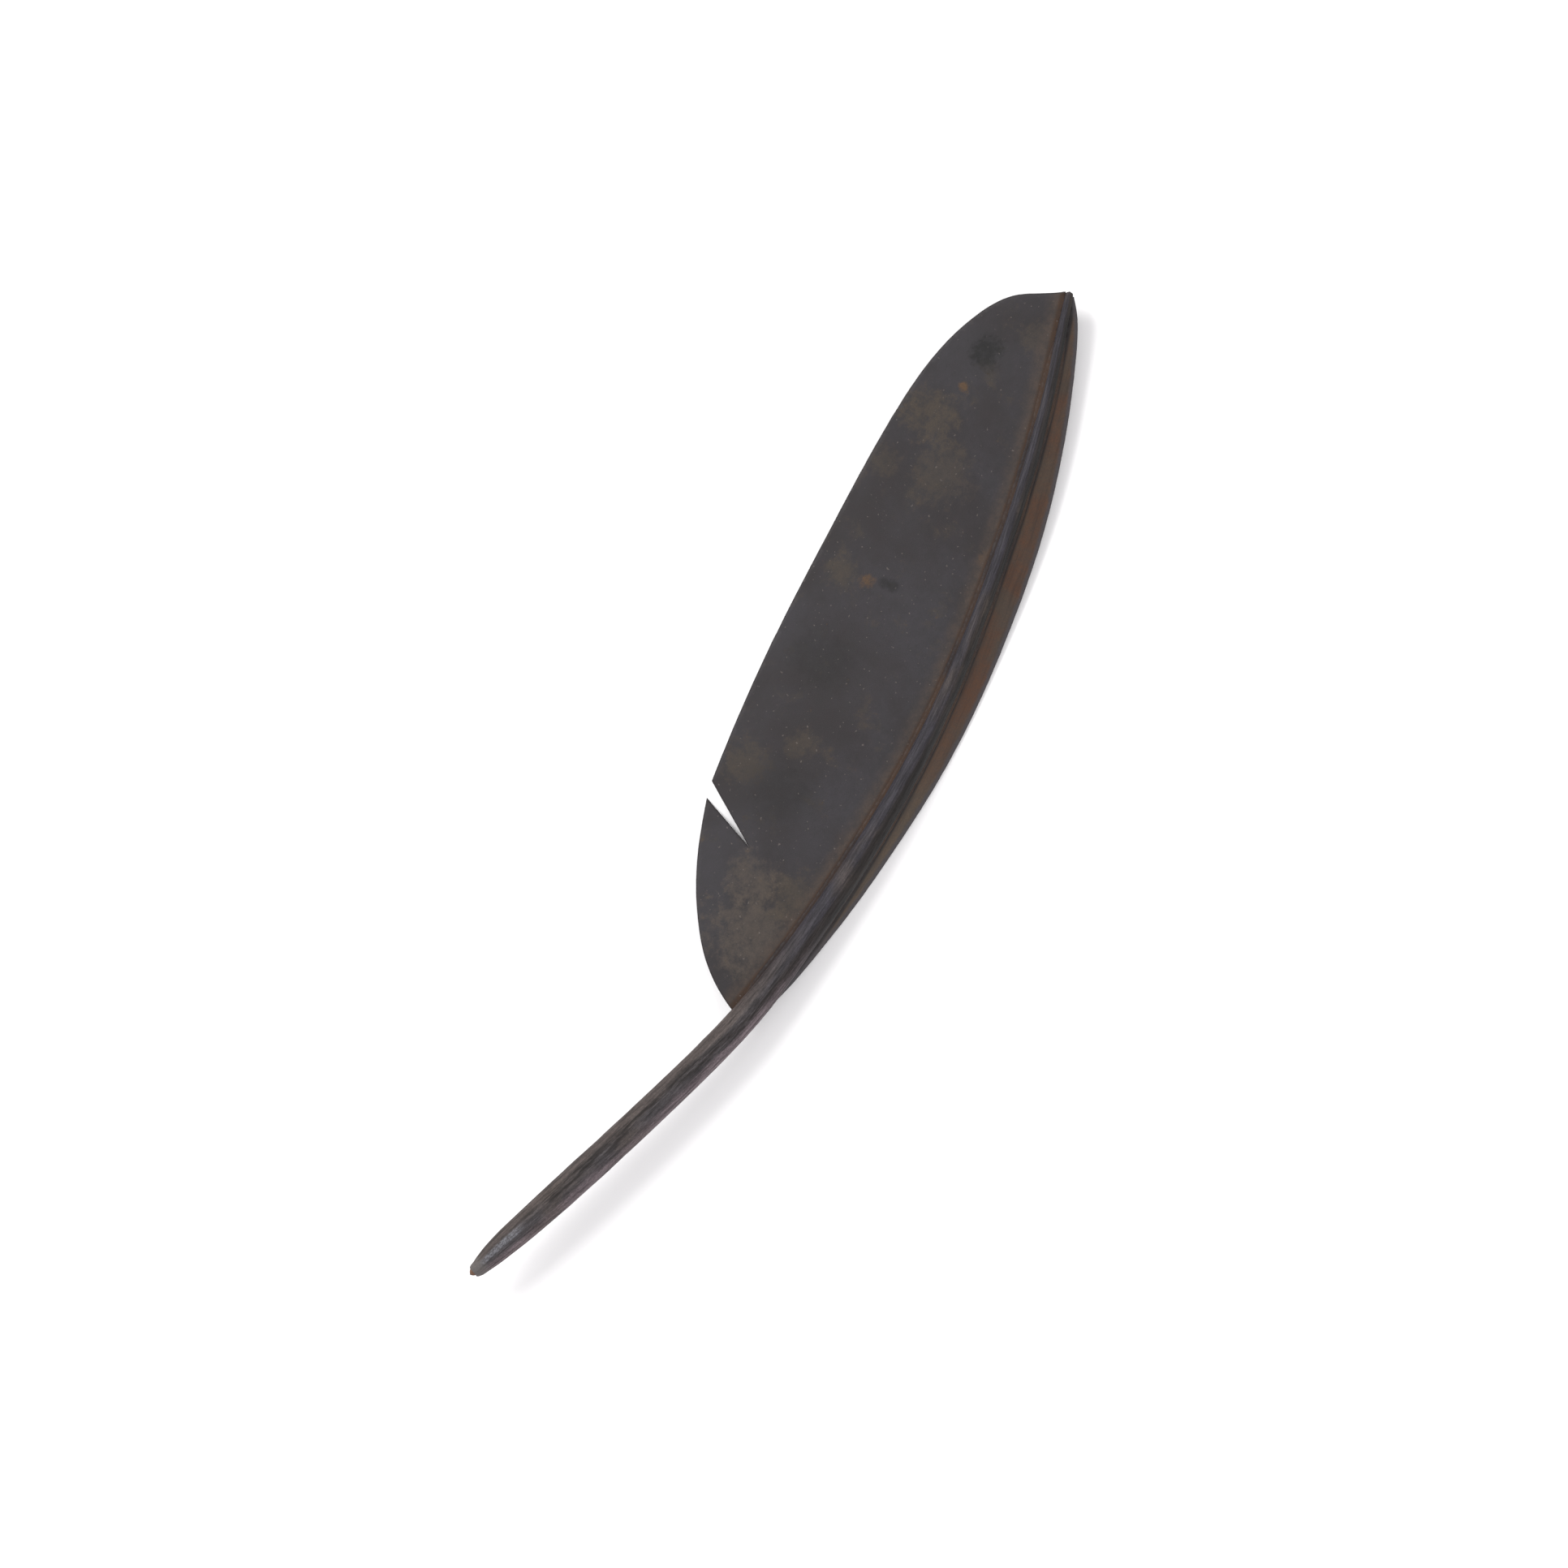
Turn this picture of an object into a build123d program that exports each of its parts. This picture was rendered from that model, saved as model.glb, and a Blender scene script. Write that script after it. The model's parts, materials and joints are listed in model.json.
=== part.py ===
"""Forged quill pen: a steel feather whose drilled barrel holds a slim ballpoint refill.

Millimetres. The shape is laid out along the chord of the feather: x runs from the writing end
to the feather tip, y towards the broad vane, and z up from the surface that the pen lies on.
placed() moves that layout to the middle of the pen's footprint, the origin of the part.
"""
import os
from collections import namedtuple
from math import atan2, copysign, cos, sin

from build123d import *

os.makedirs("parts", exist_ok=True)

# Middle of the footprint, measured from the writing end.
FOOTPRINT_X = 124.5
FOOTPRINT_Y = -6.4

# Solid-and-drilled barrel: centre x, y, z and radius, from the mouth towards the feather.
BARREL = [
    (0.25, -0.15, 9.3, 1.42),
    (1.0, -0.37, 9.27, 1.66),
    (2.5, -0.84, 9.22, 2.1),
    (6.0, -1.8, 9.1, 2.6),
    (12.0, -3.68, 8.9, 2.99),
    (22.0, -6.8, 8.65, 3.28),
    (40.0, -12.12, 8.15, 3.34),
    (58.0, -17.13, 7.45, 3.28),
]

# Rachis with its two vanes: centre x, y, z and radius, then where the outer edge of the broad
# vane and of the narrow vane pass, and how high above the surface.
Station = namedtuple("Station", "x y z radius broad_y broad_z narrow_y narrow_z")
RACHIS = [
    Station(72.0, -20.64, 6.75, 3.22, -14.0, 6.0, -25.5, 4.9),
    Station(80.0, -22.2, 6.2, 3.16, -10.0, 4.7, -27.0, 3.6),
    Station(95.0, -23.95, 5.55, 2.9, 0.8, 2.3, -27.7, 2.3),
    Station(110.0, -24.9, 5.25, 2.75, 8.3, 0.45, -29.8, 0.5),
    Station(125.0, -25.3, 5.1, 2.58, 12.2, 0.3, -30.95, 0.4),
    Station(145.0, -24.7, 5.0, 2.25, 14.9, 0.3, -31.3, 0.4),
    Station(165.0, -22.6, 5.0, 2.0, 16.5, 0.3, -29.95, 0.4),
    Station(185.0, -19.05, 5.2, 1.73, 17.8, 1.0, -26.7, 1.2),
    Station(205.0, -14.65, 5.5, 1.62, 18.5, 2.1, -22.1, 2.3),
    Station(225.0, -9.1, 6.0, 1.48, 17.3, 3.4, -14.95, 3.6),
    Station(240.0, -4.0, 6.5, 1.15, 12.0, 4.9, -8.3, 4.6),
    Station(249.8, -0.5, 7.0, 0.88, 6.0, 6.2, -4.0, 5.9),
]
MOUTH_ROUND = 0.1
FEATHER_TIP_ROUND = 0.6

# Vanes cut from sheet and joined edge-on to the rachis. CAMBER is the share of their fall that
# is left to the outer part of the sheet.
BROAD_SHEET = 0.6
NARROW_SHEET = 0.75
CAMBER = 0.3
SHEET_MARGIN = 0.3

BROAD_LOWER_EDGE = [
    (78.0, -18.6),
    (79.8, -14.6),
    (84.0, -8.4),
    (90.0, -2.8),
    (100.0, 3.8),
    (108.0, 7.5),
    (114.6, 10.0),
]
SPLIT_APEX = (110.2, -3.5)
BROAD_UPPER_EDGE = [
    (118.3, 11.0),
    (130.0, 12.9),
    (150.0, 15.4),
    (180.0, 17.5),
    (208.0, 18.6),
    (225.0, 17.3),
    (236.0, 14.0),
    (243.0, 9.6),
    (246.6, 4.4),
    (249.4, 0.4),
]
NARROW_EDGE = [
    (82.0, -25.2),
    (90.0, -27.15),
    (100.0, -28.7),
    (112.0, -30.1),
    (126.0, -31.0),
    (140.0, -31.4),
    (160.0, -30.45),
    (180.0, -27.7),
    (200.0, -23.5),
    (220.0, -17.1),
    (240.0, -8.35),
    (246.0, -4.85),
    (249.4, -1.8),
]
VANES_END = (248.6, -0.9)

# Brazed beads in the grooves above the vanes, from one rachis station to another.
BEAD_RADIUS = 0.6
BEAD_RISE = 0.45
BEAD_GAP = 0.12
BROAD_BEAD_STATIONS = slice(1, -1)
NARROW_BEAD_STATIONS = slice(2, -1)

# Straight bore for the refill, with a drilled point at its end.
BORE_RADIUS = 1.2
BORE_DEPTH = 66.5
MOUTH_CLEARANCE = 1.0
DRILL_POINT = 0.7
BORE_AIM = (70.0, -20.0, 7.0)

# Ballpoint refill of the slim standard size. Depths are measured from its front face.
REFILL_REACH = 0.76
REFILL_LENGTH = 67.0
REFILL_RADIUS = 1.175
TUBE_WALL = 0.225
NOSE_LENGTH = 0.8
NOSE_FRONT_RADIUS = 0.45
NOSE_BASE_RADIUS = 1.0
CONE_LENGTH = 3.2
CONE_BASE_RADIUS = 1.12
SHANK_LENGTH = 2.6
INK_CHANNEL_RADIUS = 0.2
INK_END = 56.0
BALL_RADIUS = 0.35
SOCKET_RADIUS = 0.36
BALL_INSET = 0.12

TUBE_BORE_RADIUS = REFILL_RADIUS - TUBE_WALL
UP = Vector(0, 0, 1)


def placed(x, y, z=0.0):
    """A point of the layout in the frame of the part."""
    return Vector(x - FOOTPRINT_X, y - FOOTPRINT_Y, z)


spine_stations = BARREL + [station[:4] for station in RACHIS]
with BuildLine() as spine_axis:
    Spline(*[placed(x, y, z) for x, y, z, radius in spine_stations])


def across(x, y, z):
    """Plane square to the spine at one of its stations: local x to the broad side, y upwards."""
    centre = placed(x, y, z)
    along = spine_axis.edge().tangent_at(centre)
    return Plane(origin=centre, x_dir=UP.cross(along).normalized(), z_dir=along)


def disc(plane, radius, centre=(0, 0)):
    """Circular section on a plane."""
    with BuildSketch(plane) as section:
        with Locations(centre):
            Circle(radius)
    return section.sketch


def sheet_middle(station, edge_y, edge_z, share):
    """Layout y and z of the middle of a vane's sheet, at a share of its reach from the axis."""
    drop = (station.z - edge_z) * share * (1 - CAMBER + CAMBER * share)
    return station.y + (edge_y - station.y) * share, station.z - drop


def sheet_section(station, edge_y, edge_z, thickness):
    """Upright section of a vane's sheet, from the axis of the rachis past its outer edge."""
    shares = (0.0, 0.35, 0.7, 1.0, 1.0 + SHEET_MARGIN)
    middle = [sheet_middle(station, edge_y, edge_z, share) for share in shares]
    middle = [(y - FOOTPRINT_Y, z) for y, z in middle]
    top = [(y, z + thickness / 2) for y, z in middle]
    bottom = [(y, z - thickness / 2) for y, z in middle]
    with BuildSketch(Plane.YZ.offset(station.x - FOOTPRINT_X)) as section:
        with BuildLine():
            Spline(*top)
            Line(top[-1], bottom[-1])
            Spline(*bottom[::-1])
            Line(bottom[0], top[0])
        make_face()
    return section.sketch


def groove_bead(station, edge_y, edge_z):
    """Section of a bead that lies on top of a vane's sheet and against the rachis."""
    reach = edge_y - station.y
    y, z = sheet_middle(station, edge_y, edge_z, station.radius / abs(reach))
    lean = atan2(station.z - z, abs(y - station.y))
    out = station.radius + BEAD_GAP
    sideways = copysign(out * cos(lean) + BEAD_RISE * sin(lean), reach)
    upwards = BEAD_RISE * cos(lean) - out * sin(lean)
    return disc(across(station.x, station.y, station.z), BEAD_RADIUS, (sideways, upwards))


rachis_line = [placed(station.x, station.y) for station in RACHIS[1:-1]]
bore_start = placed(*BARREL[0][:3])
bore_direction = (placed(*BORE_AIM) - bore_start).normalized()
bore_plane = Plane(origin=bore_start, z_dir=bore_direction)
refill_plane = bore_plane.offset(-REFILL_REACH)
FROM_FRONT = (Align.CENTER, Align.CENTER, Align.MIN)

# One forged rod: the drilled barrel drawn out into the rachis.
with BuildPart() as spine:
    loft([disc(across(x, y, z), radius) for x, y, z, radius in spine_stations])
    fillet(spine.edges().sort_by(Axis.X)[-1], FEATHER_TIP_ROUND)
    fillet(spine.edges().sort_by(Axis.X)[0], MOUTH_ROUND)
    with Locations(bore_plane.offset(-MOUTH_CLEARANCE).location):
        Cylinder(BORE_RADIUS, BORE_DEPTH + MOUTH_CLEARANCE, align=FROM_FRONT, mode=Mode.SUBTRACT)
    with Locations(bore_plane.offset(BORE_DEPTH).location):
        Cone(BORE_RADIUS, 0, DRILL_POINT, align=FROM_FRONT, mode=Mode.SUBTRACT)
spine.part.label = "spine"

# Broad vane, with the one deep split in its edge.
with BuildPart() as broad_vane:
    loft([sheet_section(s, s.broad_y, s.broad_z, BROAD_SHEET) for s in RACHIS])
    with BuildSketch(Plane.XY) as outline:
        with BuildLine():
            Spline(*[placed(x, y) for x, y in BROAD_LOWER_EDGE])
            Polyline(placed(*BROAD_LOWER_EDGE[-1]), placed(*SPLIT_APEX), placed(*BROAD_UPPER_EDGE[0]))
            Spline(*[placed(x, y) for x, y in BROAD_UPPER_EDGE])
            Polyline(
                placed(*BROAD_UPPER_EDGE[-1]),
                placed(*VANES_END),
                *reversed(rachis_line),
                placed(*BROAD_LOWER_EDGE[0]),
            )
        make_face()
    extrude(amount=12, mode=Mode.INTERSECT)
    add(spine.part, mode=Mode.SUBTRACT)
broad_vane.part.label = "broad_vane"

# Narrow vane, folded steeply down the other side.
with BuildPart() as narrow_vane:
    loft([sheet_section(s, s.narrow_y, s.narrow_z, NARROW_SHEET) for s in RACHIS])
    with BuildSketch(Plane.XY) as outline:
        with BuildLine():
            Spline(*[placed(x, y) for x, y in NARROW_EDGE])
            Polyline(
                placed(*NARROW_EDGE[-1]),
                placed(*VANES_END),
                *reversed(rachis_line[1:]),
                placed(*NARROW_EDGE[0]),
            )
        make_face()
    extrude(amount=12, mode=Mode.INTERSECT)
    add(spine.part, mode=Mode.SUBTRACT)
narrow_vane.part.label = "narrow_vane"

with BuildPart() as broad_seam:
    loft([groove_bead(s, s.broad_y, s.broad_z) for s in RACHIS[BROAD_BEAD_STATIONS]])
    add(spine.part, mode=Mode.SUBTRACT)
    add(broad_vane.part, mode=Mode.SUBTRACT)
broad_seam.part.label = "broad_seam"

with BuildPart() as narrow_seam:
    loft([groove_bead(s, s.narrow_y, s.narrow_z) for s in RACHIS[NARROW_BEAD_STATIONS]])
    add(spine.part, mode=Mode.SUBTRACT)
    add(narrow_vane.part, mode=Mode.SUBTRACT)
narrow_seam.part.label = "narrow_seam"

# Refill point: blunt nose with the ball's socket, slow cone, shank in the tube and ink channel.
with BuildPart() as refill_point:
    with Locations(refill_plane.location):
        Cone(NOSE_FRONT_RADIUS, NOSE_BASE_RADIUS, NOSE_LENGTH, align=FROM_FRONT)
    with Locations(refill_plane.offset(NOSE_LENGTH).location):
        Cone(NOSE_BASE_RADIUS, CONE_BASE_RADIUS, CONE_LENGTH - NOSE_LENGTH, align=FROM_FRONT)
    with Locations(refill_plane.offset(CONE_LENGTH).location):
        Cylinder(TUBE_BORE_RADIUS, SHANK_LENGTH, align=FROM_FRONT)
    with Locations(refill_plane.location):
        Cylinder(INK_CHANNEL_RADIUS, CONE_LENGTH + SHANK_LENGTH, align=FROM_FRONT, mode=Mode.SUBTRACT)
    with Locations(refill_plane.offset(BALL_INSET).location):
        Sphere(SOCKET_RADIUS, mode=Mode.SUBTRACT)
refill_point.part.label = "refill_point"

with BuildPart() as refill_tube:
    with Locations(refill_plane.offset(CONE_LENGTH).location):
        Cylinder(REFILL_RADIUS, REFILL_LENGTH - CONE_LENGTH, align=FROM_FRONT)
        Cylinder(TUBE_BORE_RADIUS, REFILL_LENGTH - CONE_LENGTH, align=FROM_FRONT, mode=Mode.SUBTRACT)
refill_tube.part.label = "refill_tube"

with BuildPart() as ink:
    with Locations(refill_plane.offset(CONE_LENGTH + SHANK_LENGTH).location):
        Cylinder(TUBE_BORE_RADIUS, INK_END - CONE_LENGTH - SHANK_LENGTH, align=FROM_FRONT)
ink.part.label = "ink"

with BuildPart() as writing_ball:
    with Locations(refill_plane.offset(BALL_INSET).location):
        Sphere(BALL_RADIUS)
writing_ball.part.label = "writing_ball"

pieces = [
    spine,
    broad_vane,
    narrow_vane,
    broad_seam,
    narrow_seam,
    refill_point,
    refill_tube,
    ink,
    writing_ball,
]
for piece in pieces:
    export_step(piece.part, f"parts/{piece.part.label}.step")
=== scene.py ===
"""Looks of the forged quill pen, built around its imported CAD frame.

Everything is in metres, in the frame of the part: +X runs from the writing point to the feather
tip, +Y towards the broad vane and +Z up. The rod, the vanes and the refill are rebuilt as finer
meshes on lines that are read from the CAD nodes which they replace.
"""
import json
import math

import bmesh
import bpy
import numpy as np
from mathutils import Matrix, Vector, noise
from mathutils.bvhtree import BVHTree
from mathutils.geometry import delaunay_2d_cdt


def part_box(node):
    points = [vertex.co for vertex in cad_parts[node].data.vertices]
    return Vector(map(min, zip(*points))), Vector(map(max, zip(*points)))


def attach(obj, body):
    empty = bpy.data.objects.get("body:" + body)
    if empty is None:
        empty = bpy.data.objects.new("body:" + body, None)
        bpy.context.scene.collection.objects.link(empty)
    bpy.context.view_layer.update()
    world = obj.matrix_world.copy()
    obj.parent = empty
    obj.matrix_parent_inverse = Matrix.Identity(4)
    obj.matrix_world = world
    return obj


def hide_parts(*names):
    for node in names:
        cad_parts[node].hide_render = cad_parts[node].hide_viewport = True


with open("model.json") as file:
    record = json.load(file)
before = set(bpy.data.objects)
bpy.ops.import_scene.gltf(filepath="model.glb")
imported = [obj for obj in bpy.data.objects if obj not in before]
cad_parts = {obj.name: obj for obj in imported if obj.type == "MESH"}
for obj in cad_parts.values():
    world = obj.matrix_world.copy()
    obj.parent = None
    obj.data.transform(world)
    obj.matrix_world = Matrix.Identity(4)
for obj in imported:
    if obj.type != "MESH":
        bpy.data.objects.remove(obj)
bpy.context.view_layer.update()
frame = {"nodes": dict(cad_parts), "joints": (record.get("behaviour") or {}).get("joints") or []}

MM = 0.001
UP = Vector((0, 0, 1))
NEAR_DEPTH = 0.1 * MM
BLOCK = 2000
joints = {joint["name"]: joint for joint in frame["joints"]}
REFILL_IN = -Vector(joints["refill_slide"]["axis"]).normalized()
BALL_CENTRE = Vector(joints["ball_roll"]["pos_m"])


# ---------------------------------------------------------------- reading the CAD nodes

def corners(node):
    """All vertices of a CAD node as an array."""
    mesh = frame["nodes"][node].data
    co = np.empty(len(mesh.vertices) * 3)
    mesh.vertices.foreach_get("co", co)
    return co.reshape(-1, 3)


def turned(node):
    """Depth of each vertex of a node along the bore, from the ball's centre, and its radius."""
    out = corners(node) - np.array(BALL_CENTRE)
    depths = out @ np.array(REFILL_IN)
    radii = np.linalg.norm(out - depths[:, None] * np.array(REFILL_IN), axis=1)
    return depths, radii


def depth_range(node):
    """Nearest and furthest reach of a node along the bore."""
    depths = turned(node)[0]
    return depths.min(), depths.max()


def widest_radius(node):
    """Largest distance of a node from the axis of the bore."""
    return turned(node)[1].max()


def radius_near(node, depth):
    """Largest distance of a node from the axis of the bore, close to a depth."""
    depths, radii = turned(node)
    return radii[np.abs(depths - depth) < NEAR_DEPTH].max()


def slices(node, stations):
    """Middle (y, z) and half height of a node where upright planes at the stations cross it."""
    mesh = frame["nodes"][node].data
    co = corners(node)
    ends = np.empty(len(mesh.edges) * 2, int)
    mesh.edges.foreach_get("vertices", ends)
    first, second = co[ends[0::2]], co[ends[1::2]]
    rows = []
    for x in stations:
        crossing = (first[:, 0] - x) * (second[:, 0] - x) < 0
        a, b = first[crossing], second[crossing]
        share = (x - a[:, 0]) / (b[:, 0] - a[:, 0])
        points = a + share[:, None] * (b - a)
        low, high = points.min(0), points.max(0)
        rows.append((x, (low[1] + high[1]) / 2, (low[2] + high[2]) / 2, (high[2] - low[2]) / 2))
    return np.array(rows)


def smoothed(values, reach):
    """Moving average that keeps both ends."""
    padded = np.concatenate([
        2 * values[0] - values[reach:0:-1], values, 2 * values[-1] - values[-2:-reach - 2:-1]])
    return np.convolve(padded, np.ones(2 * reach + 1) / (2 * reach + 1), "valid")


class Rod:
    """Axis and radius of the forged rod, along its own length."""

    def __init__(self):
        spine_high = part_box("spine")[1]
        mouth_depth = depth_range("spine")[0]
        mouth = BALL_CENTRE + REFILL_IN * mouth_depth
        stations = np.arange(mouth.x + 1.2 * MM, spine_high.x - 1.0 * MM, 1.0 * MM)
        rows = slices("spine", stations)
        for column in (1, 2, 3):
            rows[:, column] = smoothed(rows[:, column], 3)
        mouth_radius = radius_near("spine", mouth_depth)
        tip_slope = (rows[-1] - rows[-4]) / 3
        tip = rows[-1] + tip_slope * (spine_high.x - rows[-1, 0]) / tip_slope[0]
        rows = np.vstack([(*mouth, mouth_radius), rows, tip])
        steps = np.linalg.norm(np.diff(rows[:, :3], axis=0), axis=1)
        self.lengths = np.concatenate([[0], np.cumsum(steps)])
        self.rows = rows
        self.length = self.lengths[-1]

    def value(self, s, column):
        return np.interp(s, self.lengths, self.rows[:, column])

    def centre(self, s):
        return np.stack([self.value(s, column) for column in (0, 1, 2)], axis=-1)

    def radius(self, s):
        return self.value(s, 3)

    def frame(self, s):
        """Centre, unit vectors sideways (to the broad vane) and upwards, square to the axis."""
        reach = 1.5 * MM
        ahead = self.centre(np.minimum(s + reach, self.length))
        behind = self.centre(np.maximum(s - reach, 0))
        along = ahead - behind
        along /= np.linalg.norm(along, axis=-1, keepdims=True)
        side = np.cross(np.array(UP), along)
        side /= np.linalg.norm(side, axis=-1, keepdims=True)
        return self.centre(s), side, np.cross(along, side)

    def nearest(self, plan):
        """Length along the rod and signed plan distance from its axis, for plan points."""
        s = np.arange(0, self.length, 0.5 * MM)
        line = self.centre(s)[:, :2]
        best_s = np.empty(len(plan))
        best_d = np.empty(len(plan))
        for start in range(0, len(plan), BLOCK):
            block = plan[start:start + BLOCK]
            gaps = np.linalg.norm(block[:, None, :] - line[None, :, :], axis=2)
            closest = gaps.argmin(axis=1)
            best_s[start:start + BLOCK] = s[closest]
            best_d[start:start + BLOCK] = gaps[np.arange(len(block)), closest]
        side = self.frame(best_s)[1][:, :2]
        sign = np.sign(((plan - self.centre(best_s)[:, :2]) * side).sum(axis=1))
        return best_s, best_d * sign


rod = Rod()


# ---------------------------------------------------------------- meshes

def new_object(name, vertices, faces):
    """Smooth-shaded object whose faces all look outwards."""
    mesh = bpy.data.meshes.new(name)
    mesh.from_pydata([tuple(v) for v in vertices], [], faces)
    mesh.validate()
    work = bmesh.new()
    work.from_mesh(mesh)
    bmesh.ops.recalc_face_normals(work, faces=work.faces)
    work.to_mesh(mesh)
    work.free()
    mesh.polygons.foreach_set("use_smooth", [True] * len(mesh.polygons))
    made = bpy.data.objects.new(name, mesh)
    bpy.context.scene.collection.objects.link(made)
    return made


def write_attribute(piece, name, values):
    """Stores a vector for each vertex, for the materials to read."""
    layer = piece.data.attributes.new(name, "FLOAT_VECTOR", "POINT")
    layer.data.foreach_set("vector", np.asarray(values, dtype=np.float32).ravel())


def ring_faces(rings, segments):
    """Quads between rings of vertices that follow one another."""
    faces = []
    for ring in range(rings - 1):
        for k in range(segments):
            following = (k + 1) % segments
            faces.append((
                ring * segments + k,
                ring * segments + following,
                (ring + 1) * segments + following,
                (ring + 1) * segments + k,
            ))
    return faces


def wave(point, scale, octaves=3):
    """Fractal noise at a point, about -1 to 1, for features of the given size."""
    return noise.fractal(Vector(point) / scale, 1.0, 2.0, octaves, noise_basis="PERLIN_ORIGINAL")


def step(low, high, value):
    """Smooth step from 0 at low to 1 at high."""
    t = np.clip((value - low) / (high - low), 0, 1)
    return t * t * (3 - 2 * t)


def stretch_share(s, starts, full, fades, ends):
    """1 on a stretch of the rod, 0 off it, with smooth ends."""
    return float(step(starts, full, s) * (1 - step(fades, ends, s)))


# ---------------------------------------------------------------- the forged rod

ROD_SEGMENTS = 80
RING_STEP = 0.3 * MM
ROD_REFERENCE_RADIUS = 3.0 * MM
MOUTH_ROUND = 0.7 * MM
MOUTH_LIP = 0.16 * MM
TIP_ROUND = 0.8 * MM
BORE_CLEARANCE = 0.025 * MM
BORE_BEYOND_REFILL = 0.25 * MM
DRILL_POINT = 0.6 * MM

# Lap line of the forging: where it runs across the rod, as a share of the radius, by length.
LAP_LENGTHS = [0.06, 0.24, 0.30, 0.34, 0.38, 0.44]
LAP_SHARES = [0.40, 0.30, -0.10, -0.20, -0.35, -0.45]
LAP_STRETCH = (12 * MM, 24 * MM, 125 * MM, 165 * MM)
FOLD_STRETCH = (2.5 * MM, 4.5 * MM, 12 * MM, 15 * MM)


def lap_gap(s, angle, radius):
    """Distance from the lap line, around the rod."""
    share = np.interp(s / rod.length, LAP_LENGTHS, LAP_SHARES)
    wander = 0.10 * wave((s, 0, 0), 9 * MM) + 0.05 * wave((s, 1, 0), 2 * MM)
    lap_angle = math.acos(max(-0.9, min(0.9, share + wander)))
    return (angle - lap_angle) * radius if angle < 1.5 * math.pi else 10 * MM


def lap_strength(s):
    """How clearly the lap line shows, by length."""
    return stretch_share(s, *LAP_STRETCH)


def rod_relief(s, angle, radius):
    """How far the forged surface lies below the round rod. Less than zero stands above it."""
    x = ROD_REFERENCE_RADIUS * math.cos(angle)
    y = ROD_REFERENCE_RADIUS * math.sin(angle)
    hammer = 0.5 + 0.5 * wave((s / 2.2, x, y), 3.5 * MM, 2)
    grain = 0.5 + 0.5 * wave((s / 14, x, y), 0.5 * MM, 3)
    fine = 0.5 + 0.5 * wave((s / 5, x, y), 0.22 * MM, 2)
    relief = 0.09 * hammer + 0.09 * grain + 0.03 * fine - 0.08
    # ragged lap line, with a rough and pitted strip beside it
    gap = lap_gap(s, angle, radius) / MM
    lap = lap_strength(s)
    broken = max(0.0, 0.35 + wave((s, 5 * MM, 0), 3.5 * MM))
    relief += lap * broken * 0.20 * math.exp(-(gap / 0.2) ** 2)
    pits = max(0.0, wave((s / 2.5, x, y), 0.45 * MM, 2))
    relief += lap * 0.16 * pits * math.exp(-((gap - 0.5) / 1.0) ** 2)
    # fold left by drawing out the writing end
    fold_angle = math.radians(100 + 4 * wave((s, 2, 0), 4 * MM))
    fold_gap = abs(angle - fold_angle) * radius / MM
    relief += stretch_share(s, *FOLD_STRETCH) * 0.14 * math.exp(-(fold_gap / 0.16) ** 2)
    return relief * MM * min(1.0, radius / (2.4 * MM))


def rounded_radius(s, radius):
    """Radius of the rod with its mouth and its tip rounded off."""
    if s < MOUTH_ROUND:
        radius -= MOUTH_LIP * (1 - math.sqrt(1 - (1 - s / MOUTH_ROUND) ** 2))
    from_tip = rod.length - s
    if from_tip < TIP_ROUND:
        radius *= math.sqrt(max(1 - ((TIP_ROUND - from_tip) / TIP_ROUND) ** 2, 0.0)) * 0.999 + 0.001
    return radius


def bore_profile():
    """Depth and radius of the bore, from the mouth to its drilled point."""
    radius = widest_radius("refill_tube") + BORE_CLEARANCE
    mouth_depth = depth_range("spine")[0]
    bore_end = depth_range("refill_tube")[1] + BORE_BEYOND_REFILL
    return [
        (mouth_depth + 0.01 * MM, radius + 0.03 * MM),
        (mouth_depth + 0.05 * MM, radius),
        (bore_end * 0.02 + mouth_depth, radius),
        (bore_end * 0.5, radius),
        (bore_end, radius),
        (bore_end + DRILL_POINT, 0.05 * MM),
    ]


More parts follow.
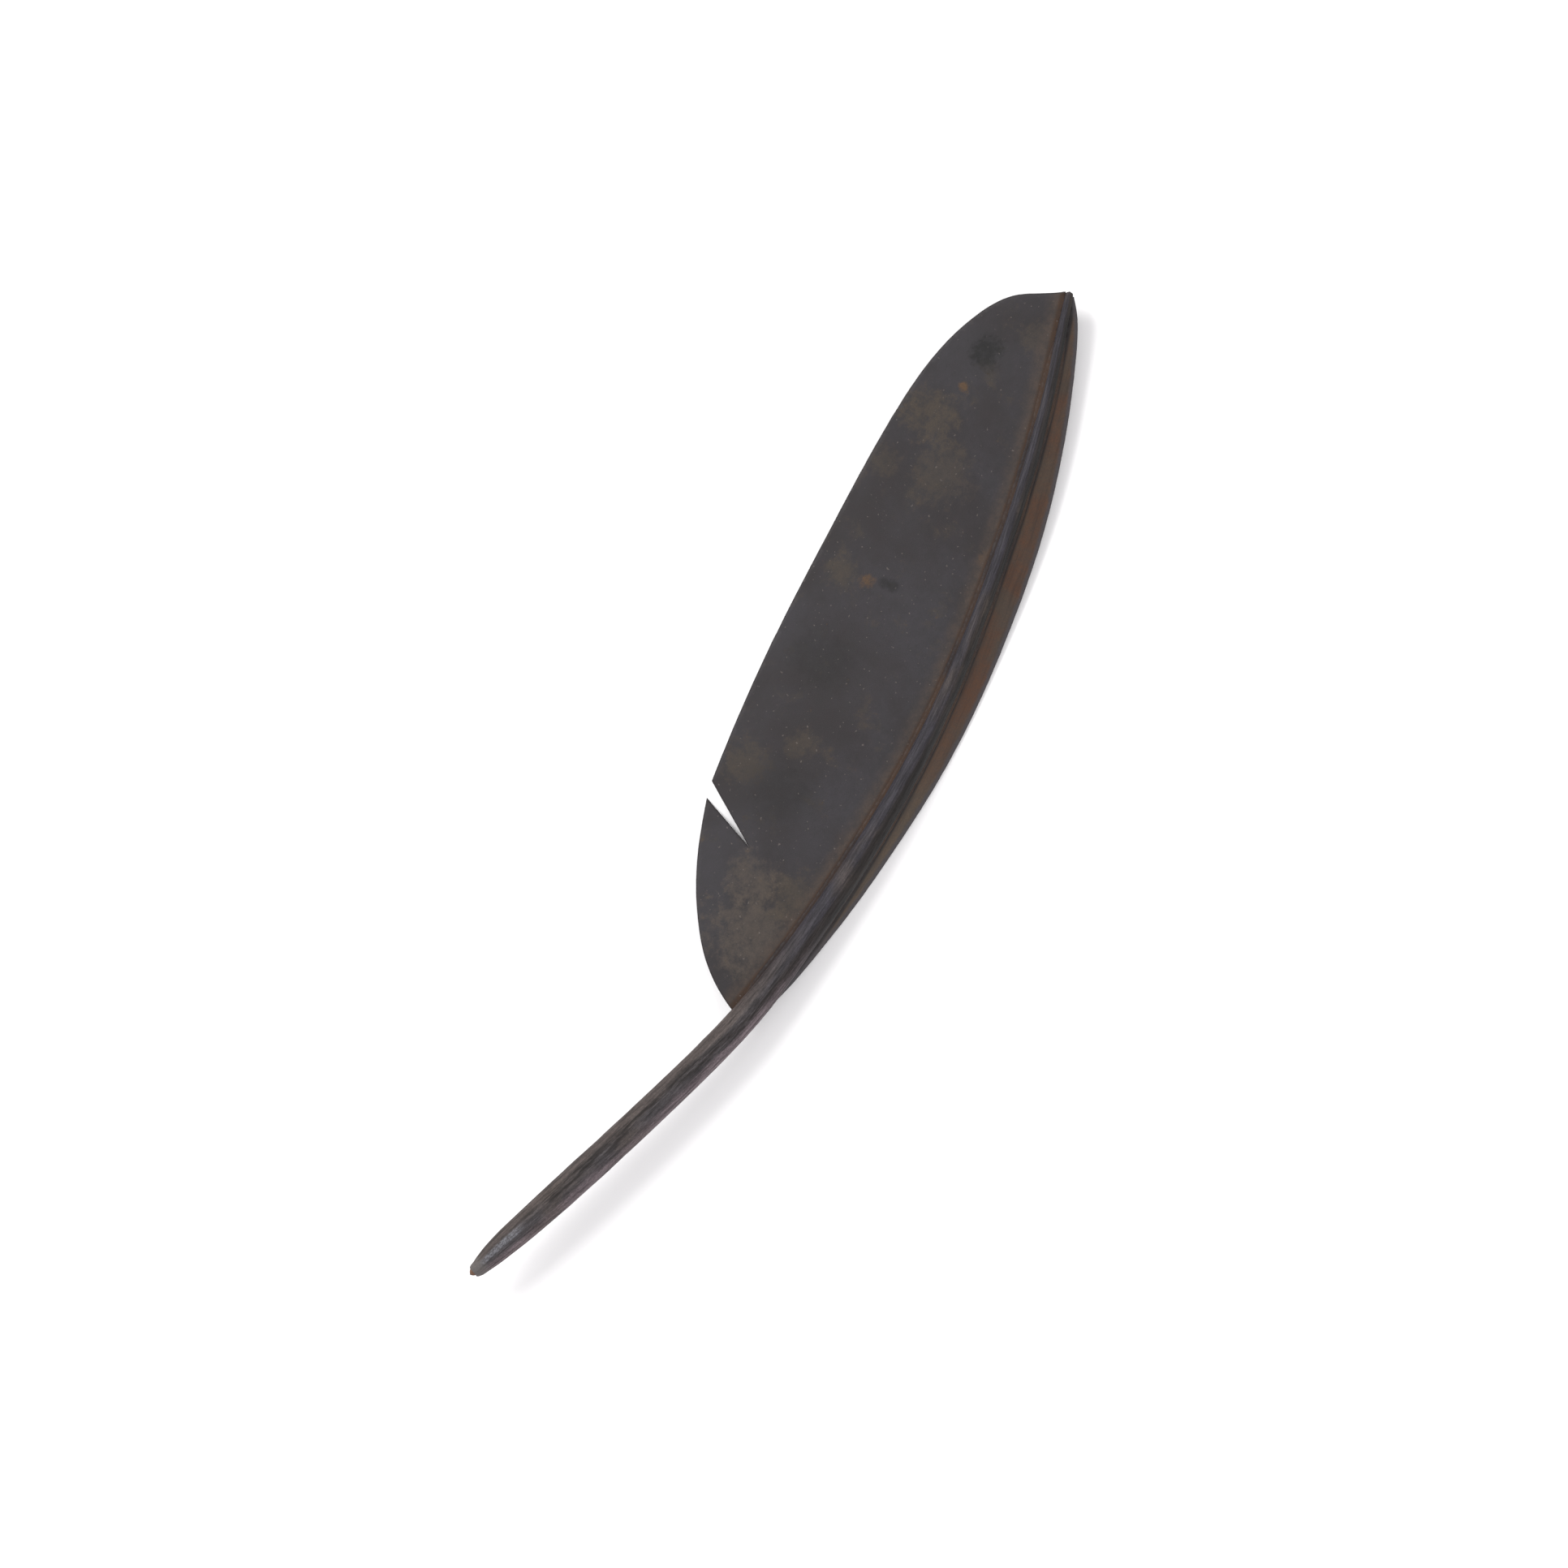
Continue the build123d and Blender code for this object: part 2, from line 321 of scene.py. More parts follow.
def make_rod():
    rings = int(rod.length / RING_STEP)
    angles = [2 * math.pi * k / ROD_SEGMENTS for k in range(ROD_SEGMENTS)]
    vertices = []
    space = []
    lap_space = []
    s_values = np.linspace(0, rod.length, rings)
    centres, sides, ups = rod.frame(s_values)
    radii = rod.radius(s_values)
    for ring, s in enumerate(s_values):
        full = rounded_radius(s, radii[ring])
        for angle in angles:
            depth = rod_relief(s, angle, radii[ring]) * float(step(0, 1.2 * MM, s))
            depth = min(depth, 0.3 * full)
            out = sides[ring] * math.cos(angle) + ups[ring] * math.sin(angle)
            vertices.append(centres[ring] + out * (full - depth))
            lap_space.append((lap_gap(s, angle, radii[ring]), lap_strength(s), 0))
            space.append((
                s, ROD_REFERENCE_RADIUS * math.cos(angle), ROD_REFERENCE_RADIUS * math.sin(angle)))
    faces = ring_faces(rings, ROD_SEGMENTS)
    faces.append(tuple(range((rings - 1) * ROD_SEGMENTS, rings * ROD_SEGMENTS)))
    # the bore, from the mouth inwards
    side = UP.cross(REFILL_IN).normalized()
    upward = REFILL_IN.cross(side)
    profile = bore_profile()
    first_bore = len(vertices)
    for depth, radius in profile:
        centre = BALL_CENTRE + REFILL_IN * depth
        for angle in angles:
            out = side * math.cos(angle) + upward * math.sin(angle)
            vertices.append(np.array(centre + out * radius))
            space.append((depth, radius * math.cos(angle), radius * math.sin(angle)))
            lap_space.append((10 * MM, 0, 0))
    faces += [
        tuple(first_bore + index for index in face)
        for face in ring_faces(len(profile), ROD_SEGMENTS)
    ]
    faces.append(tuple(range(first_bore + (len(profile) - 1) * ROD_SEGMENTS, len(vertices))))
    for k in range(ROD_SEGMENTS):
        following = (k + 1) % ROD_SEGMENTS
        faces.append((k, following, first_bore + following, first_bore + k))
    piece = new_object("forged_rod", vertices, faces)
    write_attribute(piece, "rod_space", space)
    write_attribute(piece, "lap_space", lap_space)
    return piece


# ---------------------------------------------------------------- vanes

OUTLINE_STEP = 0.5 * MM
GRID_STEP = 0.8 * MM
GRID_TO_RIM = 0.45 * MM
RAGGED_EDGE = 0.03 * MM
RIM_BEVEL = 0.13 * MM
LOWEST = 0.002 * MM
BURIED_SHARE = 0.45


def merged(node):
    """A CAD node's mesh with the vertices of its faces joined."""
    work = bmesh.new()
    work.from_mesh(frame["nodes"][node].data)
    bmesh.ops.remove_doubles(work, verts=work.verts, dist=1e-6)
    work.normal_update()
    return work


def outer_edge(node):
    """Plan points of the edge that a vane was cut to, from the barrel to the feather tip."""
    work = merged(node)
    links = {}
    for edge in work.edges:
        upward = [face.normal.z > 0.3 for face in edge.link_faces]
        middle = (edge.verts[0].co + edge.verts[1].co) / 2
        s, gap = rod.nearest(np.array([(middle.x, middle.y)]))
        if any(upward) and not all(upward) and abs(gap[0]) > rod.radius(s[0]) + 0.02 * MM:
            a, b = edge.verts
            links.setdefault(a, set()).add(b)
            links.setdefault(b, set()).add(a)
    ends = sorted((v for v in links if len(links[v]) == 1), key=lambda v: v.co.x)
    chain = [ends[0]]
    visited = {ends[0]}
    while True:
        onward = [v for v in links[chain[-1]] if v not in visited]
        if not onward:
            break
        chain.append(onward[0])
        visited.add(onward[0])
    points = np.array([(v.co.x, v.co.y) for v in chain])
    work.free()
    return points


def corner_indices(points, turn=35):
    """Indices of sharp corners in a chain, with its two ends."""
    found = [0]
    for i in range(1, len(points) - 1):
        before = Vector(points[i] - points[i - 1])
        after = Vector(points[i + 1] - points[i])
        if before.angle(after, 0) > math.radians(turn):
            found.append(i)
    return found + [len(points) - 1]


def resampled(points, spacing):
    """Chain of evenly spaced points, smooth between the sharp corners that it keeps."""
    result = []
    marks = corner_indices(points)
    for start, end in zip(marks, marks[1:]):
        run = points[start:end + 1]
        lengths = np.concatenate([[0], np.cumsum(np.linalg.norm(np.diff(run, axis=0), axis=1))])
        count = max(int(lengths[-1] / spacing), 1)
        places = np.linspace(0, lengths[-1], count + 1)
        even = np.stack([np.interp(places, lengths, run[:, k]) for k in (0, 1)], axis=1)
        for _ in range(12):
            even[1:-1] = (even[:-2] + 2 * even[1:-1] + even[2:]) / 4
        result.append(even if not result else even[1:])
    return np.vstack(result)


def inside(points, loop):
    """Which plan points lie inside a closed loop."""
    crossings = np.zeros(len(points), int)
    for a, b in zip(loop, np.roll(loop, -1, axis=0)):
        if a[1] == b[1]:
            continue
        between = (a[1] > points[:, 1]) != (b[1] > points[:, 1])
        at = a[0] + (points[:, 1] - a[1]) / (b[1] - a[1]) * (b[0] - a[0])
        crossings += between & (points[:, 0] < at)
    return crossings % 2 == 1


def clearance(points, loop):
    """Distance from plan points to the nearest point of a loop."""
    nearest = np.full(len(points), 1e9)
    for start in range(0, len(points), BLOCK):
        block = points[start:start + BLOCK]
        gaps = np.linalg.norm(block[:, None, :] - loop[None, :, :], axis=2)
        nearest[start:start + BLOCK] = gaps.min(axis=1)
    return nearest


class Sheet:
    """Smooth middle surface of a vane, fitted to the heights of its CAD node."""

    X_DEGREE = 9
    OUT_DEGREE = 3

    def __init__(self, node):
        work = merged(node)
        tree = BVHTree.FromBMesh(work)
        low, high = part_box(node)
        self.low, self.high = low, high
        xs = np.linspace(low.x, high.x, 170)
        ys = np.linspace(low.y, high.y, 90)
        plan = np.array([(x, y) for x in xs for y in ys])
        heights = []
        for x, y in plan:
            top = tree.ray_cast(Vector((x, y, 0.05)), -UP)[0]
            bottom = tree.ray_cast(Vector((x, y, -0.05)), UP)[0]
            heights.append((top.z, bottom.z) if top and bottom else (np.nan, np.nan))
        work.free()
        heights = np.array(heights)
        thickness = heights[:, 0] - heights[:, 1]
        self.thickness = np.nanmedian(thickness)
        whole = np.abs(thickness - self.thickness) < 0.05 * MM
        middle = heights[whole].mean(axis=1)
        self.terms, *_ = np.linalg.lstsq(self.basis(plan[whole]), middle, rcond=None)

    def basis(self, plan):
        x = (plan[:, 0] - self.low.x) / (self.high.x - self.low.x) * 2 - 1
        centre_y = np.interp(plan[:, 0], rod.rows[:, 0], rod.rows[:, 1])
        out = (plan[:, 1] - centre_y) / (20 * MM)
        columns = [
            np.polynomial.chebyshev.Chebyshev.basis(i)(x) * out ** j
            for i in range(self.X_DEGREE + 1) for j in range(self.OUT_DEGREE + 1)
        ]
        return np.stack(columns, axis=1)

    def height(self, plan):
        return self.basis(plan) @ self.terms


def hammered(x, y, rim_gap):
    """Gentle unevenness of planished sheet. It fades out at the rim."""
    slow = wave((x, y, 0), 26 * MM, 2)
    dents = wave((x, y, 7), 8 * MM, 2)
    return (0.16 * slow + 0.035 * dents) * MM * float(step(0.5 * MM, 9 * MM, rim_gap))


def vane_outline(node, side):
    """Outer edge of a vane, very slightly ragged as a filed edge is."""
    outline = resampled(outer_edge(node), OUTLINE_STEP)
    ragged = np.array([wave((k * OUTLINE_STEP, side, 3), 3 * MM, 3) for k in range(len(outline))])
    normals = np.gradient(outline, axis=0)[:, ::-1] * (side, -side)
    normals /= np.linalg.norm(normals, axis=1, keepdims=True)
    return outline + normals * (RAGGED_EDGE * ragged)[:, None]


def buried_edge(outline, side):
    """Inner edge of a vane, hidden inside the rod."""
    s_ends = rod.nearest(outline[[0, -1]])[0]
    s_inner = np.arange(s_ends[1] - 0.4 * MM, s_ends[0], -GRID_STEP)
    centre, sideways, _ = rod.frame(s_inner)
    return (centre + sideways * (side * BURIED_SHARE * rod.radius(s_inner))[:, None])[:, :2]


def triangulated(loop):
    """Plan points, triangles and the rim's indices of an even mesh that fills a loop."""
    xs = np.arange(loop[:, 0].min(), loop[:, 0].max(), GRID_STEP)
    ys = np.arange(loop[:, 1].min(), loop[:, 1].max(), GRID_STEP * 0.866)
    grid = np.array([
        (x + (row % 2) * GRID_STEP / 2, y) for row, y in enumerate(ys) for x in xs])
    grid = grid[inside(grid, loop)]
    grid = grid[clearance(grid, loop) > GRID_TO_RIM]
    count = len(loop)
    rim = [(k, (k + 1) % count) for k in range(count)]
    scaled = [Vector(p) / MM for p in np.vstack([loop, grid])]
    points, _, triangles, sources_of, *_ = delaunay_2d_cdt(scaled, rim, [list(range(count))], 1, 1e-6)
    plan = np.array([(v.x, v.y) for v in points]) * MM
    index_of = {source: new for new, sources in enumerate(sources_of) for source in sources}
    return plan, triangles, [index_of[k] for k in range(count)]


def beaten_heights(sheet, plan, rim_gap, dents):
    """Height of the sheet's middle with its hammering and its dents."""
    middle = sheet.height(plan)
    for k, (x, y) in enumerate(plan):
        middle[k] += hammered(x, y, rim_gap[k])
        for at, reach, depth in dents:
            gap = math.hypot((x - at[0]) / reach[0], (y - at[1]) / reach[1])
            middle[k] -= depth * math.exp(-gap * gap)
    return middle


def thickened(plan, triangles, rim_loop, middle, half, side):
    """Vertices and faces of a sheet with bevelled rims: top, bottom, then both rims."""
    total = len(plan)
    count = len(rim_loop)
    rim_points = plan[rim_loop]
    inward = np.gradient(np.vstack([rim_points[-1:], rim_points, rim_points[:1]]), axis=0)[1:-1]
    inward = inward[:, ::-1] * (side, -side)
    inward /= np.maximum(np.linalg.norm(inward, axis=1, keepdims=True), 1e-9)
    pulled = plan.copy()
    pulled[rim_loop] += inward * RIM_BEVEL * 0.7
    rim_middle = middle[rim_loop]
    vertices = np.vstack([
        np.column_stack([pulled, middle + half]),
        np.column_stack([pulled, np.maximum(middle - half, LOWEST)]),
        np.column_stack([rim_points, rim_middle + half - RIM_BEVEL]),
        np.column_stack([rim_points, np.maximum(rim_middle - half, LOWEST) + RIM_BEVEL]),
    ])
    faces = [tuple(t) for t in triangles]
    faces += [tuple(total + k for k in reversed(t)) for t in triangles]
    for k in range(count):
        following = (k + 1) % count
        a, b = rim_loop[k], rim_loop[following]
        c, d = 2 * total + k, 2 * total + following
        e, f = 2 * total + count + k, 2 * total + count + following
        faces += [(b, a, c, d), (d, c, e, f), (f, e, total + a, total + b)]
    return vertices, faces


def make_vane(name, node, sheet, side, dents):
    outline = vane_outline(node, side)
    loop = np.vstack([outline, buried_edge(outline, side)])
    plan, triangles, rim_loop = triangulated(loop)
    rim_gap = clearance(plan, outline)
    middle = beaten_heights(sheet, plan, rim_gap, dents)
    vertices, faces = thickened(plan, triangles, rim_loop, middle, sheet.thickness / 2, side)
    piece = new_object(name, vertices, faces)
    s, gap = rod.nearest(plan)
    field = np.column_stack([s, np.abs(gap) - rod.radius(s), rim_gap])
    ring = field[rim_loop]
    write_attribute(piece, "vane_space", np.vstack([field, field, ring, ring]))
    return piece


# ---------------------------------------------------------------- fillets beside the rod

FILLET_STEP = 0.4 * MM
CURVE_POINTS = 6


def fillet_section(centre, sideways, radius, sheet, local):
    """Section of a concave bead: out from the rod's axis and up, with its hidden back."""
    outs = np.linspace(0.5, 1.15, 60) * radius
    plan = centre[None, :2] + sideways[None, :2] * outs[:, None]
    above = sheet.height(plan) + sheet.thickness / 2 - centre[2]
    away = np.hypot(outs, above)
    root = outs[int(np.argmin(np.abs(away - radius)))]
    root_height = float(np.interp(root, outs, above))
    lift = math.atan2(root_height, root) + local / radius
    on_rod = np.array((radius * math.cos(lift), radius * math.sin(lift)))
    far = root + local
    far_plan = (centre[:2] + sideways[:2] * far)[None, :]
    on_vane = np.array((far, sheet.height(far_plan)[0] + sheet.thickness / 2 - centre[2]))
    pull = np.array((root, root_height)) + 0.12 * local
    section = [
        (1 - t) ** 2 * on_rod + 2 * t * (1 - t) * pull + t ** 2 * on_vane
        for t in np.linspace(0, 1, CURVE_POINTS)
    ]
    below_vane = on_vane - (0, 0.12 * MM)
    below_root = (root - 0.2 * MM, root_height - 0.15 * MM)
    return section + [below_vane, below_root, 0.93 * on_rod]


def make_fillet(name, node, sheet, side, width):
    """Concave bead in the groove between the rod and the top of a vane."""
    low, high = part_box(node)
    ends = np.array([low.x + 1 * MM, high.x])
    end_plan = np.column_stack([ends, np.interp(ends, rod.rows[:, 0], rod.rows[:, 1])])
    s_low, s_high = rod.nearest(end_plan)[0]
    s_values = np.arange(s_low, s_high, FILLET_STEP)
    centres, sides, ups = rod.frame(s_values)
    radii = rod.radius(s_values)
    vertices = []
    space = []
    for k, s in enumerate(s_values):
        fade = stretch_share(s, s_low, s_low + 6 * MM, s_high - 8 * MM, s_high)
        local = width * (0.35 + 0.65 * fade) * (1 + 0.22 * wave((s, side, 0), 5 * MM))
        section = fillet_section(centres[k], side * sides[k], radii[k], sheet, local)
        for x, z in section:
            vertices.append(centres[k] + sides[k] * side * x + ups[k] * z)
            space.append((s, x, z))
    rings = len(s_values)
    around = len(section)
    faces = ring_faces(rings, around)
    faces.append(tuple(range(around)))
    faces.append(tuple(range((rings - 1) * around, rings * around)))
    piece = new_object(name, vertices, faces)
    write_attribute(piece, "rod_space", space)
    return piece


# ---------------------------------------------------------------- refill

LATHE_SEGMENTS = 64


def lathe(name, profile, start_depth):
    """Closed turned piece about the bore's axis, from (depth, radius) pairs after a depth."""
    side = UP.cross(REFILL_IN).normalized()
    upward = REFILL_IN.cross(side)
    vertices = []
    for depth, radius in profile:
        centre = BALL_CENTRE + REFILL_IN * (start_depth + depth)
        for k in range(LATHE_SEGMENTS):
            angle = 2 * math.pi * k / LATHE_SEGMENTS
            vertices.append(centre + (side * math.cos(angle) + upward * math.sin(angle)) * radius)
    rings = len(profile)
    faces = ring_faces(rings, LATHE_SEGMENTS)
    for k in range(LATHE_SEGMENTS):
        following = (k + 1) % LATHE_SEGMENTS
        last = (rings - 1) * LATHE_SEGMENTS
        faces.append((last + k, last + following, following, k))
    return new_object(name, vertices, faces)


# ---------------------------------------------------------------- materials

def linear(*rgb):
    """Linear colour from sRGB numbers of 0 to 255."""
    channels = []
    for value in rgb:
        c = value / 255
        channels.append(c / 12.92 if c <= 0.04045 else ((c + 0.055) / 1.055) ** 2.4)
    return (*channels, 1.0)


# Light that the gloss adds to a surface seen from above, and how strongly the studio light shows
# the colour under it.
GLOSS = 0.030
DAYLIGHT = 1.58

# Specular level of the blackened metal.
SHEEN = 0.35


def oxide(*rgb):
    """Base colour of a surface that reads as the sRGB numbers once its gloss is added."""
    return (*[max(c - GLOSS, 0.003) / DAYLIGHT for c in linear(*rgb)[:3]], 1.0)


class Finish:
    """One procedural material and short ways to add nodes to it."""

    def __init__(self, name, metallic, specular=0.5):
        self.material = bpy.data.materials.new(name)
        self.material.use_nodes = True
        self.tree = self.material.node_tree
        self.shader = self.tree.nodes["Principled BSDF"]
        self.shader.inputs["Metallic"].default_value = metallic
        self.shader.inputs["Specular IOR Level"].default_value = specular

    def add(self, kind, values=(), **settings):
        """New node with its settings, and with its inputs linked or set."""
        node = self.tree.nodes.new(kind)
        for key, value in settings.items():
            setattr(node, key, value)
        for key, value in dict(values).items():
            self.put(node.inputs[key], value)
        return node

    def put(self, socket, value):
        """Links a socket's value, or sets a plain one."""
        if isinstance(value, bpy.types.NodeSocket):
            self.tree.links.new(value, socket)
        else:
            socket.default_value = value

    def place(self, attribute=None):
        """Position on the part, or a vector stored on the mesh."""
        if attribute is None:
            return self.add("ShaderNodeTexCoord").outputs["Object"]
        return self.add("ShaderNodeAttribute", attribute_name=attribute).outputs["Vector"]

    def axis(self, vector, letter):
        return self.add("ShaderNodeSeparateXYZ", {"Vector": vector}).outputs[letter]

    def stretch(self, vector, x, y, z):
        return self.add(
            "ShaderNodeVectorMath", {0: vector, 1: (x, y, z)}, operation="MULTIPLY").outputs[0]

    def noise(self, vector, size, detail=3.0, rough=0.5, warp=0.0):
        values = {
            "Vector": vector, "Scale": 1 / size, "Detail": detail,
            "Roughness": rough, "Distortion": warp,
        }
        return self.add("ShaderNodeTexNoise", values).outputs["Fac"]

    def ramp(self, value, low, high, out_low=0.0, out_high=1.0):
        """Smooth change from out_low at low to out_high at high."""
        values = {
            "Value": value, "From Min": low, "From Max": high,
            "To Min": out_low, "To Max": out_high,
        }
        return self.add(
            "ShaderNodeMapRange", values, interpolation_type="SMOOTHSTEP").outputs["Result"]

    def math(self, operation, a, b=0.0):
        return self.add("ShaderNodeMath", {0: a, 1: b}, operation=operation).outputs[0]

    def mix(self, factor, a, b, blend="MIX"):
        node = self.add("ShaderNodeMix", data_type="RGBA", blend_type=blend)
        self.put(node.inputs["Factor"], factor)
        self.put(node.inputs[6], a)
        self.put(node.inputs[7], b)
        return node.outputs[2]

    def blot(self, vector, centre, radius, cloud):
        """1 inside an uneven patch about a point, 0 outside."""
        gap = self.add(
            "ShaderNodeVectorMath", {0: vector, 1: centre}, operation="DISTANCE").outputs["Value"]
        pull = self.ramp(gap, radius * 2.6, 0, 0, 0.30)
        return self.ramp(self.math("ADD", cloud, pull), 0.60, 0.80)

    def shaded(self, colour, share):
        """Colour times a grey share."""
        grey = self.add("ShaderNodeCombineColor", {"Red": share, "Green": share, "Blue": share})
        return self.mix(1.0, colour, grey.outputs["Color"], "MULTIPLY")

    def finish(self, colour, roughness, height=None, relief=0.0, strength=1.0):
        """Connects the look to the shader. Relief is the depth of the bump."""
        self.put(self.shader.inputs["Base Color"], colour)
        self.put(self.shader.inputs["Roughness"], roughness)
        if height is not None:
            bump = self.add(
                "ShaderNodeBump", {"Height": height, "Distance": relief, "Strength": strength})
            self.put(self.shader.inputs["Normal"], bump.outputs["Normal"])
        return self.material


def vane_point(x_share, y_share):
    """Plan point at shares of the broad vane's box."""
    low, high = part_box("broad_vane")
    return (low.x + (high.x - low.x) * x_share, low.y + (high.y - low.y) * y_share)


FIELD_DARK = oxide(63, 60, 61)
FIELD_GREY = oxide(69, 67, 70)
OLIVE = oxide(81, 74, 67)
BESIDE_RACHIS = oxide(83, 74, 69)
GROOVE_BROWN = oxide(74, 60, 52)
RUST = oxide(97, 78, 62)
DARK_STAIN_AND_SHADE = oxide(48, 44, 44)
PALE_BROWN = oxide(87, 80, 75)
PALE_FLECK_GLINT = oxide(116, 108, 104)
DARK_EDGE = oxide(58, 55, 55)
NARROW_BROWN = oxide(86, 75, 67)
NARROW_ORANGE = oxide(94, 71, 59)
NARROW_OLIVE = oxide(99, 87, 76)
NARROW_STREAK_AND_SHADOW = oxide(54, 44, 39)
NARROW_RIM_REFLECTION = oxide(82, 79, 82)
BARREL_TOP = oxide(80, 77, 79)
BARREL_WARM_LIT = oxide(84, 77, 75)
BARREL_FLOOR_REFLECTION = oxide(113, 102, 106)
RACHIS_LIT_GREY = oxide(66, 64, 69)
RACHIS_PAINTED_SHADE = oxide(62, 59, 59)
RACHIS_CREVICE_SHADOW = oxide(52, 42, 38)
ROD_BROWN = oxide(88, 79, 73)
ROD_DEEP = oxide(56, 52, 50)
BRIGHT_STEEL_AND_HIGHLIGHT = oxide(146, 147, 154)
WORN_END = oxide(112, 108, 106)
BRAZE_DARK = oxide(56, 46, 40)

# Lengths along the rod where its colours change.
BARREL_ENDS = 78 * MM
RACHIS_BEGINS = 112 * MM
SCUFF_HIGHLIGHT_FADES = 12 * MM
SCUFF_HIGHLIGHT_ENDS = 16 * MM
WORN_FADES = 1.5 * MM
WORN_ENDS = 4.4 * MM

# Patches on the broad vane: middle, radius, colour and strength.
STAINS_AND_CREASE_SHADE = [
    (vane_point(0.10, 0.22), 8.0 * MM, PALE_BROWN, 0.8),
    (vane_point(0.16, 0.14), 5.0 * MM, OLIVE, 0.7),
    (vane_point(0.15, 0.36), 5.0 * MM, PALE_BROWN, 0.6),
    (vane_point(0.28, 0.72), 4.5 * MM, OLIVE, 0.6),
    (vane_point(0.335, 0.52), 3.0 * MM, OLIVE, 0.6),
    (vane_point(0.27, 0.48), 6.0 * MM, DARK_STAIN_AND_SHADE, 0.35),
    (vane_point(0.44, 0.66), 6.0 * MM, DARK_STAIN_AND_SHADE, 0.35),
    (vane_point(0.55, 0.80), 3.0 * MM, OLIVE, 0.6),
    (vane_point(0.555, 0.66), 1.3 * MM, RUST, 0.8),
    # The two dark spots below are painted shade in the crease.
    (vane_point(0.565, 0.58), 1.0 * MM, DARK_STAIN_AND_SHADE, 0.6),
    (vane_point(0.567, 0.53), 1.1 * MM, DARK_STAIN_AND_SHADE, 0.6),
    (vane_point(0.70, 0.92), 3.0 * MM, OLIVE, 0.5),
    (vane_point(0.657, 0.18), 1.6 * MM, RUST, 0.8),
    (vane_point(0.72, 0.60), 5.5 * MM, OLIVE, 0.5),
    (vane_point(0.78, 0.84), 5.0 * MM, OLIVE, 0.8),
    (vane_point(0.83, 0.76), 0.8 * MM, RUST, 0.9),
    (vane_point(0.885, 0.76), 3.0 * MM, DARK_STAIN_AND_SHADE, 0.85),
    (vane_point(0.93, 0.56), 3.0 * MM, OLIVE, 0.5),
]


def sheet_finish():
    look = Finish("blackened_sheet", 0.0, SHEEN)
    place = look.place()
    flat = look.stretch(place, 1, 1, 0)
    vane = look.place("vane_space")
    out = look.axis(vane, "Y")
    rim = look.axis(vane, "Z")
    clouds = look.noise(flat, 30 * MM, 6, 0.62, 0.25)
    patches = look.noise(flat, 8 * MM, 7, 0.72, 0.25)
    mottle = look.noise(flat, 2.2 * MM, 5, 0.75)
    grain = look.noise(flat, 0.4 * MM, 4, 0.7)
    colour = look.mix(look.ramp(clouds, 0.36, 0.64), FIELD_DARK, FIELD_GREY)
    colour = look.mix(look.ramp(patches, 0.54, 0.70, 0, 0.5), colour, OLIVE)
    broken = look.math(
        "ADD", look.math("MULTIPLY", patches, 0.5), look.math("MULTIPLY", mottle, 0.5))
    for centre, radius, tint, share in STAINS_AND_CREASE_SHADE:
        spot = look.blot(flat, (*centre, 0), radius, broken)
        colour = look.mix(look.math("MULTIPLY", spot, share), colour, tint)
    reach = look.math("ADD", out, look.math("MULTIPLY", patches, 4 * MM))
    band = look.ramp(reach, 6.5 * MM, 2.6 * MM)
    band = look.math("MULTIPLY", band, look.ramp(mottle, 0.3, 0.6, 0.55, 1.0))
    colour = look.mix(band, colour, BESIDE_RACHIS)
    colour = look.mix(look.ramp(out, 1.5 * MM, 0.6 * MM), colour, GROOVE_BROWN)
    rusty = look.math("MULTIPLY", look.ramp(mottle, 0.66, 0.76), look.ramp(patches, 0.5, 0.6, 0, 0.6))
    colour = look.mix(rusty, colour, RUST)
    # Pale flecks with painted glints on them.
    fleck_glints = look.noise(flat, 0.9 * MM, 2, 0.5)
    colour = look.mix(look.ramp(fleck_glints, 0.68, 0.74, 0, 0.6), colour, PALE_FLECK_GLINT)
    shade = look.ramp(grain, 0.25, 0.75, 0.78, 1.22)
    shade = look.math("MULTIPLY", shade, look.ramp(mottle, 0.3, 0.7, 0.78, 1.22))
    colour = look.shaded(colour, shade)
    colour = look.mix(look.ramp(rim, 0.35 * MM, 0.0, 0, 0.6), colour, DARK_EDGE)
    rough = look.ramp(look.math("ADD", grain, mottle), 0.7, 1.3, 0.58, 0.74)
    height = look.math("ADD", look.math("MULTIPLY", grain, 0.6), look.math("MULTIPLY", mottle, 0.5))
    return look.finish(colour, rough, height, 0.03 * MM, 0.6)


